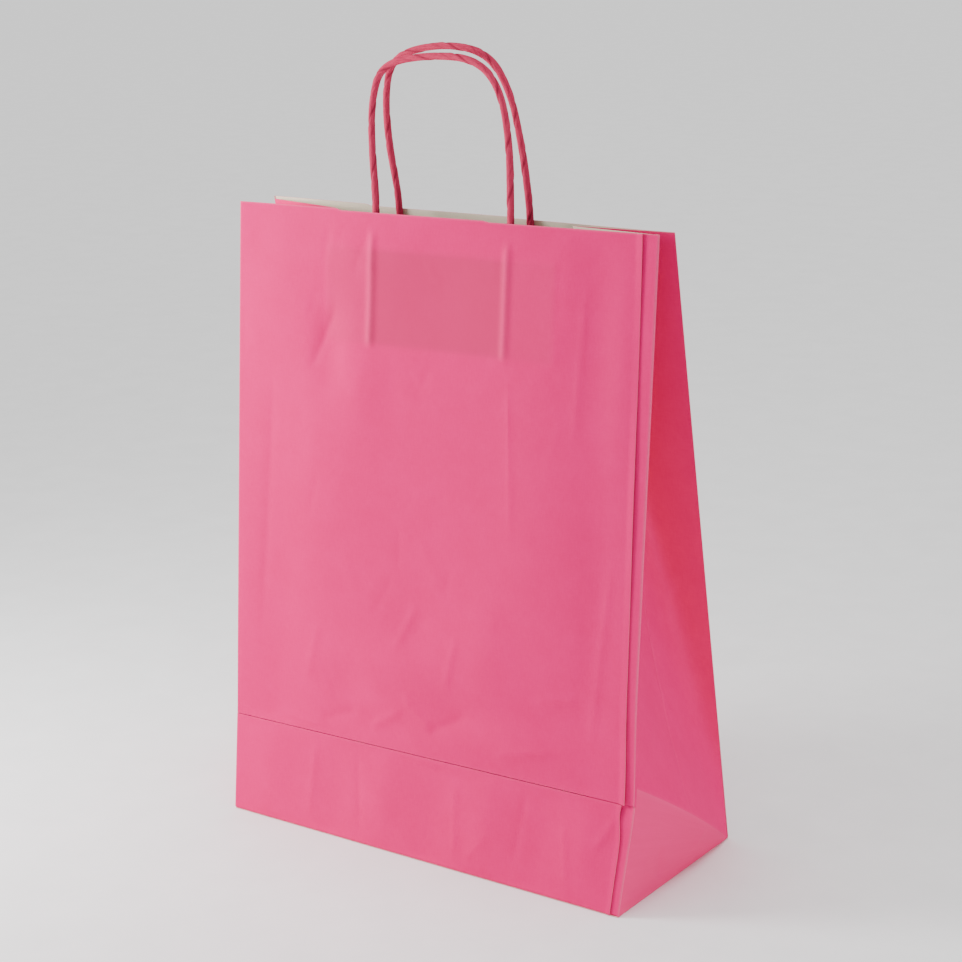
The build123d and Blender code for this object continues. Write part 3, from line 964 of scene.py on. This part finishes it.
# %% Back wall
BACK_HOLLOWS = (
    (-80, 90, 24, 60, 0.9), (0, 170, 40, 60, -0.9), (70, 120, 26, 70, 0.8), (20, 60, 40, 26, -0.8),
    (-95, 220, 16, 50, -0.6), (92, 240, 18, 40, 0.6), (-40, 40, 26, 16, 0.7),
)
BACK_CREASES = (
    (-118, 53, 118, 53, 0.5, 1.2), (-60, 60, -20, 72, 0.35, 1.8), (30, 58, 66, 66, -0.35, 1.8),
    (-104, 70, -98, 230, 0.3, 2.4), (100, 80, 106, 240, -0.3, 2.4),
)
BACK_SCATTER = scattered_creases(11, 30, 215, 312)


def back_relief(x, s):
    soft = hollows(x, s, BACK_HOLLOWS) + creases(x, s, BACK_CREASES + tuple(BACK_SCATTER))
    mouth_wave = 0.4 * MM * np.sin(x / (27 * MM) + 0.4) * smooth((s - 265 * MM) / (50 * MM))
    ridges = cord_ridges(x, s, BACK_LENGTH, CORD_X["back"], RIDGE)
    return soft * edge_calm(x, s, BACK_LENGTH) + mouth_wave * mouth_calm(x) + ridges


def place_back(x, s):
    cut = cut_top(-x, s, BACK_LENGTH)
    return back_at(-x, s + cut, -back_relief(-x, s))


def back_wear(x, s):
    return np.clip(corner_rub(x) + 0.7 * hump(s - BACK_LENGTH, 0.5 * MM) + 0.6 * hump(s, 0.8 * MM), 0, 1)


back_stops = (-LIP, -CORD_X["back"][1], -CORD_X["back"][0], LIP)
back_columns = closer_at(-LIP, LIP, 1.8 * MM, back_stops, 3 * MM, 0.6 * MM)
back_rows = closer_at(0.3 * MM, BACK_LENGTH, 2.2 * MM, (0.3 * MM, 53 * MM, BACK_LENGTH), 3 * MM, 0.6 * MM)
back_wall = paper_sheet("back_wall_sheet", back_columns, back_rows, place_back, PINK_OUTSIDE, back_wear,
                        cut=("high",))
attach(back_wall, "back_wall")
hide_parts("back_panel")

# %% [markdown]
# ## The gussets
# A gusset is the side that folds in when the bag closes. At the mouth it is a sharp V, and further
# down it opens into a rounded trough, until it meets the slanted crease of the block bottom. Each
# height's cross-section is drawn as the CAD facets' own bent line, from corner to corner, then
# rounded as paper does: hardly at the mouth, and a lot near the foot. A gusset is made in two
# halves, front and rear, which meet at its pressed middle crease.

# %% Gusset surface
TUCK = math.sqrt(HALF_DEPTH**2 - ((BACK_MOUTH.y - FRONT_MOUTH.y) / 2) ** 2)
SIDES = (("right", 1), ("left", -1))
BULGE = {"right": 5.2 * MM, "left": 2.4 * MM}      # the slanted crease stands out this far
LIFT = 1.2 * MM                                    # ... and up
RISE = {"right": 9 * MM, "left": 3 * MM}           # the slanted crease starts this far over the level one


def one(wall_at, x, s, depth):
    return wall_at(np.array([x]), np.array([s]), depth)[0]


INSIDE = {"right": 0.95 * MM, "left": 0.62 * MM}   # a gusset's edge lies under the paper at the corner
CORNER_INSET = 0.35 * MM
TOP_CUT = 0.8 * MM
ROW_POINTS = 241           # points along one height's cross-section
TUCKED = {"right": 2.2 * MM, "left": 0.0}          # how far the gusset's edge lies in under the turned lip


def front_corner(name, sign, share):
    """The front corner's fold beside the gusset, from the slanted crease up to the mouth."""
    s = mix(RISE[name], FRONT_LENGTH - TOP_CUT, share)
    return one(front_at, sign * (HALF_WIDTH - CORNER_INSET), s, INSIDE[name])


def back_corner(sign, share):
    s = mix(0.3 * MM, BACK_LENGTH - TOP_CUT, share)
    return one(back_at, sign * (HALF_WIDTH - CORNER_INSET), s, INSIDE["left"])


def gusset_corners(name, sign):
    """Front and back crease ends, and the mouth's front, rear and tucked middle."""
    front, back = front_corner(name, sign, 0), back_corner(sign, 0)
    top_front, top_rear = front_corner(name, sign, 1), back_corner(sign, 1)
    top_middle = (top_front + top_rear) / 2
    top_middle[0] -= sign * (TUCK - 0.3 * MM)
    return front, back, top_front, top_rear, top_middle


def rounded_row(points, spread):
    """A bent line as evenly spaced points, rounded by a blur of this width, with its ends kept."""
    lengths = np.linalg.norm(np.diff(points, axis=0), axis=1)
    along = np.concatenate([[0], np.cumsum(lengths)])
    even = np.linspace(0, along[-1], ROW_POINTS)
    line = np.stack([np.interp(even, along, points[:, i]) for i in range(3)], axis=1)
    step = even[1]
    reach = int(min(ROW_POINTS // 2, max(1, 3 * spread / step)))
    kernel = np.exp(-((np.arange(-reach, reach + 1) * step / spread) ** 2) / 2)
    kernel /= kernel.sum()
    before = 2 * line[0] - line[reach:0:-1]
    after = 2 * line[-1] - line[-2:-reach - 2:-1]
    padded_line = np.concatenate([before, line, after])
    return np.stack([np.convolve(padded_line[:, i], kernel, "valid") for i in range(3)], axis=1)


GUSSET_HOLLOWS = (
    (20, 60, 12, 50, 0.9), (52, 50, 8, 40, -0.8), (84, 60, 12, 50, 0.8), (30, 160, 12, 50, -0.5),
    (76, 150, 12, 50, 0.6), (60, 24, 24, 10, 0.9), (30, 14, 12, 8, -0.7),
)
GUSSET_CREASES = (
    (18, 26, 40, 46, 0.7, 2.2), (60, 34, 96, 62, -0.8, 2.6), (66, 96, 98, 130, 0.8, 2.8),
    (14, 110, 34, 150, -0.5, 2.4), (52.5, -20, 52.5, 300, -0.4, 0.9), (40, 70, 70, 40, 0.6, 2.6),
)
DEPTH = 2 * HALF_DEPTH


def gusset_at(name, sign, across, share):
    """Gusset points: across 0..1 from front to back, share 0..1 from the slanted crease up."""
    front, back, top_front, top_rear, top_middle = gusset_corners(name, sign)
    heights = np.unique(share)
    rows = {}
    for t in heights:
        a, b = front_corner(name, sign, t), back_corner(sign, t)
        a[0] -= sign * TUCKED[name] * float(smooth(np.array((t - 0.03) / 0.15)))
        first, second = mix(front, top_middle, t), mix(back, top_middle, t)
        spread = mix(11 * MM, 1.3 * MM, float(smooth(t * 1.02)) ** 0.7)
        rows[t] = rounded_row(np.array([a, first, second, b]), spread)
    places = np.linspace(0, 1, ROW_POINTS)
    points = np.empty((len(across), 3))
    for t in heights:
        here = share == t
        for i in range(3):
            points[here, i] = np.interp(across[here], places, rows[t][:, i])
    swell = np.sin(math.pi * across) ** 0.8 * np.exp(-share / 0.11)
    points[:, 0] += sign * BULGE[name] * swell
    points[:, 2] += LIFT * swell
    flat_x, flat_s = across * DEPTH, share * FRONT_LENGTH
    marks = hollows(flat_x, flat_s, GUSSET_HOLLOWS) + creases(flat_x, flat_s, GUSSET_CREASES)
    calm = smooth(across * 12) * smooth((1 - across) * 12) * smooth(share * 14) * smooth((1 - share) * 9)
    points[:, 0] += sign * marks * calm
    return points


def crease_normal(name, sign, near):
    """A hinge line's middle and the direction across it, from the middle facet to the fold."""
    front, back, top_front, top_rear, top_middle = (Vector(c) for c in gusset_corners(name, sign))
    foot, other, corner = (front, back, top_front) if near == "front" else (back, front, top_rear)
    hinge = (top_middle - foot).normalized()
    to_fold = corner - foot
    to_fold = (to_fold - hinge * to_fold.dot(hinge)).normalized()
    to_middle = other - foot
    to_middle = (to_middle - hinge * to_middle.dot(hinge)).normalized()
    return (foot + top_middle) / 2, (to_fold - to_middle).normalized()


# %% [markdown]

# %% Make the gussets
def half_gusset(name, sign, half):
    start, stop = (0.0, 0.5) if half == "front" else (0.5, 1.0)
    spots = closer_at(0.0, HALF_DEPTH, 1.7 * MM, (0, HALF_DEPTH), 4 * MM, 0.6 * MM) / DEPTH + start
    columns = spots * DEPTH if sign > 0 else -spots[::-1] * DEPTH
    rows = closer_at(0.0, FRONT_LENGTH, 2.6 * MM, (0, FRONT_LENGTH), 4 * MM, 0.8 * MM)

    def place(x, s):
        return gusset_at(name, sign, np.clip(np.abs(x) / DEPTH, start, stop), s / FRONT_LENGTH)

    def wear(x, s):
        middle = 0.1 * hump(np.abs(x) - HALF_DEPTH, 0.6 * MM)
        return np.clip(middle + 0.15 * hump(s, 0.8 * MM) + 0.4 * hump(s - FRONT_LENGTH, 0.5 * MM), 0, 1)

    label = f"{name}_gusset_{half}_half"
    sheet = paper_sheet(label, columns, rows, place, PINK_OUTSIDE, wear, cut=("high",))
    hinge, across = crease_normal(name, sign, half)
    fold = "front_fold" if half == "front" else "rear_fold"
    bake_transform(sheet)
    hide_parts(f"{name}_gusset_{fold}")
    return sheet


for name, sign in SIDES:
    for half in ("front", "rear"):
        half_gusset(name, sign, half)
    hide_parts(f"{name}_gusset_centre")

# %% [markdown]
# ## The feet of the gussets
# Below the slanted crease a triangle of the gusset stands on the floor. It was pushed out from the
# inside when the bag was opened, so it bulges, and its slanted edge is the fold that shows brightest
# on the right side. The whole triangle is also painted a little lighter, as painted light, and its
# floor edge and slanted crease show rubbed-off ink. A short dent runs across it.

# %% Gusset feet
FOOT_CREASES = ((34, 4, 26, 20, -1.1, 1.7), (60, 8, 74, 18, 0.5, 1.8), (12, 10, 24, 34, 0.4, 1.8))
FOOT_TIP = 0.985


def foot_at(name, sign, across, share):
    """Foot triangle: across 0..1 from front to back, share 0..1 from the floor to the slanted crease."""
    front, back, *_ = gusset_corners(name, sign)
    edge = sign * (HALF_WIDTH - CORNER_INSET)
    low_front = one(band_at, edge, 1.5 * MM, INSIDE[name])
    low_front[2] = FLOOR_GAP
    low_back = np.array([sign * (HALF_WIDTH - CORNER_INSET), HALF_DEPTH - 0.45 * MM, FLOOR_GAP])
    swell = np.sin(math.pi * across) ** 0.8
    low = mix(low_front, low_back, across[:, None])
    high = mix(front, back, across[:, None])
    high[:, 0] += sign * BULGE[name] * swell
    high[:, 2] += LIFT * swell
    points = mix(low, high, share[:, None])
    belly = np.sin(math.pi * share) * np.sin(math.pi * across)
    points[:, 0] += sign * 1.6 * MM * belly
    up = share * (BAND_LENGTH + RISE[name])
    in_band = band_at(np.full_like(up, edge), np.clip(up, 1.5 * MM, BAND_LENGTH), INSIDE[name])
    over_it = front_at(np.full_like(up, edge), np.clip(up - BAND_LENGTH, 0, None), INSIDE[name])
    bent = np.where((up < BAND_LENGTH)[:, None], in_band, over_it) - mix(low_front, front, share[:, None])
    bent[:, 2] = 0
    points += bent * ((1 - across) ** 5)[:, None]
    flat_x, flat_s = across * DEPTH, share * 50 * MM * (1 - across)
    inside = smooth(share * 5) * smooth((1 - share) * 5)
    points[:, 0] += sign * creases(flat_x, flat_s, FOOT_CREASES) * inside
    return points


for name, sign in SIDES:
    spots = closer_at(0.0, DEPTH * FOOT_TIP, 1.8 * MM, (0,), 2 * MM, 0.6 * MM)
    columns = spots if sign > 0 else -spots[::-1]
    rows = np.linspace(0, 1, 34)
    sheet = paper_sheet(
        f"{name}_foot_triangle", columns, rows,
        lambda x, s, name=name, sign=sign: foot_at(name, sign, np.abs(x) / DEPTH, s), PINK_OUTSIDE,
        # painted light: the whole foot is 0.3 lighter, as it faces up to the lamps; its floor edge and
        # slanted crease add rubbed-off ink
        lambda x, s: np.clip(0.3 + 0.15 * hump(s - 1, 0.03) + 0.3 * hump(s, 0.03), 0, 1), cut=(),
    )
    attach(sheet, "base")
    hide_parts(f"{name}_gusset_foot")

# %% [markdown]
# ## The bottom
# Four flaps make the bottom: the front one outermost, the back one lapped over it, and two short
# side flaps with slanted ends inside. They are flat, and only their laps and cut edges show.

# %% Bottom flaps
LAP = 20 * MM              # the long flaps reach this far past the middle
FLAP = 0.2 * MM            # thickness
FLAP_REACH = 72 * MM
SIDE_REACH = 39 * MM
SIDE_HALF = 47.5 * MM


def front_flap_place(x, s):
    lean = 0.12 * MM * smooth(1 - s / (1.5 * MM))
    return np.stack([-x, s - HALF_DEPTH + 0.5 * MM, lean], axis=-1)


def back_flap_place(x, s):
    y = HALF_DEPTH - 0.4 * MM - s
    return np.stack([x, y, FLAP * smooth((LAP + 1.6 * MM - y) / (1.2 * MM))], axis=-1)


def side_flap_place(sign):
    def place(x, s):
        inward = SIDE_REACH * s
        half = SIDE_HALF - inward
        edge = sign * (HALF_WIDTH - 1.1 * MM - inward)
        return np.stack([edge, x * half * sign, 0 * x + 2 * FLAP], axis=-1)
    return place


wide = np.linspace(-119.6 * MM, 119.6 * MM, 81)
front_flap = paper_sheet("bottom_front_sheet", wide, closer_at(0.0, FLAP_REACH, 4 * MM, (0,), 2 * MM),
                         front_flap_place, PINK_OUTSIDE, thickness=FLAP)
back_steps = closer_at(0.0, FLAP_REACH, 4 * MM, (31 * MM,), 2.5 * MM, 0.3 * MM)
back_flap = paper_sheet("bottom_back_sheet", wide, back_steps, back_flap_place, PINK_OUTSIDE, thickness=FLAP)
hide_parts("bottom_front_flap")
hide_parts("bottom_back_flap")
flaps = [front_flap, back_flap]
for name, sign in SIDES:
    flap = paper_sheet(f"bottom_{name}_sheet", np.linspace(-1, 1, 25), np.linspace(0, 1, 13),
                       side_flap_place(sign), PINK_OUTSIDE, thickness=FLAP)
    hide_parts(f"bottom_{name}_flap")
    flaps.append(flap)
for flap in flaps:
    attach(flap, "base")

# %% [markdown]
# ## The patches
# A strip of bare paper is glued flat to the wall, the cord's ends are laid on it in glue, and a
# second strip is pressed over them, so it rises into a ridge along each cord.

# %% Handle patches
OVER_CORD = 3.75 * MM      # how far the cover stands off the backing where it passes a cord


def patch_place(wall_at, length, relief, level, raised, cord_x, flip):
    middle = (cord_x[0] + cord_x[1]) / 2

    def place(x, s):
        over = middle - x * flip
        up = length - PATCH_DROP - PATCH_HEIGHT + s
        ridge = np.zeros_like(x)
        for cord in cord_x:
            ridge = np.maximum(ridge, ridge_profile(np.abs(over - cord)))
        return wall_at(over, up, level - relief(over, up) + raised * ridge)
    return place


def ridge_profile(off):
    """How far a strip stands up beside a cord: over its crown, then down its flank."""
    crown = np.sqrt(np.clip(1 - (off / (2.25 * MM)) ** 2, 0, 1)) * OVER_CORD
    flank = OVER_CORD * np.exp(-(np.clip(off - 1.0 * MM, 0, None) / (1.5 * MM)) ** 2)
    return np.maximum(crown, flank)


PATCH_HALF = 68 * MM
BARE = ("patch_paper", "patch_paper", "patch_paper")
PATCHES = (
    ("front", front_at, FRONT_LENGTH, front_relief, 1),
    ("back", back_at, BACK_LENGTH, back_relief, -1),
)
for side, wall_at, length, relief, flip in PATCHES:
    across = [flip * (sum(CORD_X[side]) / 2 - x) for x in CORD_X[side]]
    for layer, level, raised in (("backing", 0.85 * MM, 0), ("cover", 1.10 * MM, 1)):
        fine = sorted(across) if raised else []
        columns = closer_at(-PATCH_HALF, PATCH_HALF, 3 * MM, fine, 4.5 * MM, 0.3 * MM)
        rows = closer_at(0.0, PATCH_HEIGHT, 2.2 * MM, (0, PATCH_HEIGHT), 1 * MM)
        place = patch_place(wall_at, length, relief, level, raised, CORD_X[side], flip)
        patch = paper_sheet(f"{side}_patch_{layer}_sheet", columns, rows, place, BARE, thickness=0.2 * MM)
        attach(patch, side + "_wall")
        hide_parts(f"{side}_patch_{layer}")

# %% [markdown]
# ## One flat sheet
# The walls are folded from one flat sheet.

# %% [markdown]
# ## Floor and light
# A pale floor and a bright surround, as in a shop catalogue. The main light is a soft panel at the
# front left, which leaves the right-hand end of the front a little darker. A weaker one stands low at
# the right, so the gusset is brightest near the floor and darker towards the mouth.

# %% Floor, world and lights
bpy.ops.object.select_all(action="DESELECT")
bpy.ops.mesh.primitive_plane_add(size=60)
floor = bpy.context.object
floor.name = "floor"
floor_finish = bpy.data.materials.new("pale_floor")
floor_finish.use_nodes = True
tree = floor_finish.node_tree
place = tree.nodes.new("ShaderNodeTexCoord").outputs["Object"]
cloudy = ramp(tree, noise(tree, place, 30.0, 3), 0.3, 0.7)
pale = mixed(tree, cloudy, (0.86, 0.86, 0.86), (0.9, 0.9, 0.9))
tree.links.new(pale, tree.nodes["Principled BSDF"].inputs["Base Color"])
tree.nodes["Principled BSDF"].inputs["Roughness"].default_value = 0.8
floor.data.materials.append(floor_finish)

world = bpy.data.worlds.new("surround")
bpy.context.scene.world = world
world.use_nodes = True
world.node_tree.nodes["Background"].inputs["Color"].default_value = (1, 1, 1, 1)
world.node_tree.nodes["Background"].inputs["Strength"].default_value = 0.45


def soft_light(name, place, aim, size, power):
    lamp = bpy.data.lights.new(name, "AREA")
    lamp.shape = "DISK"
    lamp.size = size
    lamp.energy = power
    holder = bpy.data.objects.new(name, lamp)
    holder.location = place
    holder.rotation_euler = (Vector(aim) - Vector(place)).to_track_quat("-Z", "Y").to_euler()
    bpy.context.collection.objects.link(holder)
    return holder


soft_light("key", (-0.45, -0.29, 0.37), (-0.02, 0, 0.17), 0.24, 4.9)
soft_light("side", (0.55, 0.0, 0.05), (0.12, 0, 0.0), 0.2, 0.85)
sun = bpy.data.objects.new("overhead", bpy.data.lights.new("overhead", "SUN"))
sun.data.energy = 2.6
sun.data.angle = math.radians(40)
bpy.context.collection.objects.link(sun)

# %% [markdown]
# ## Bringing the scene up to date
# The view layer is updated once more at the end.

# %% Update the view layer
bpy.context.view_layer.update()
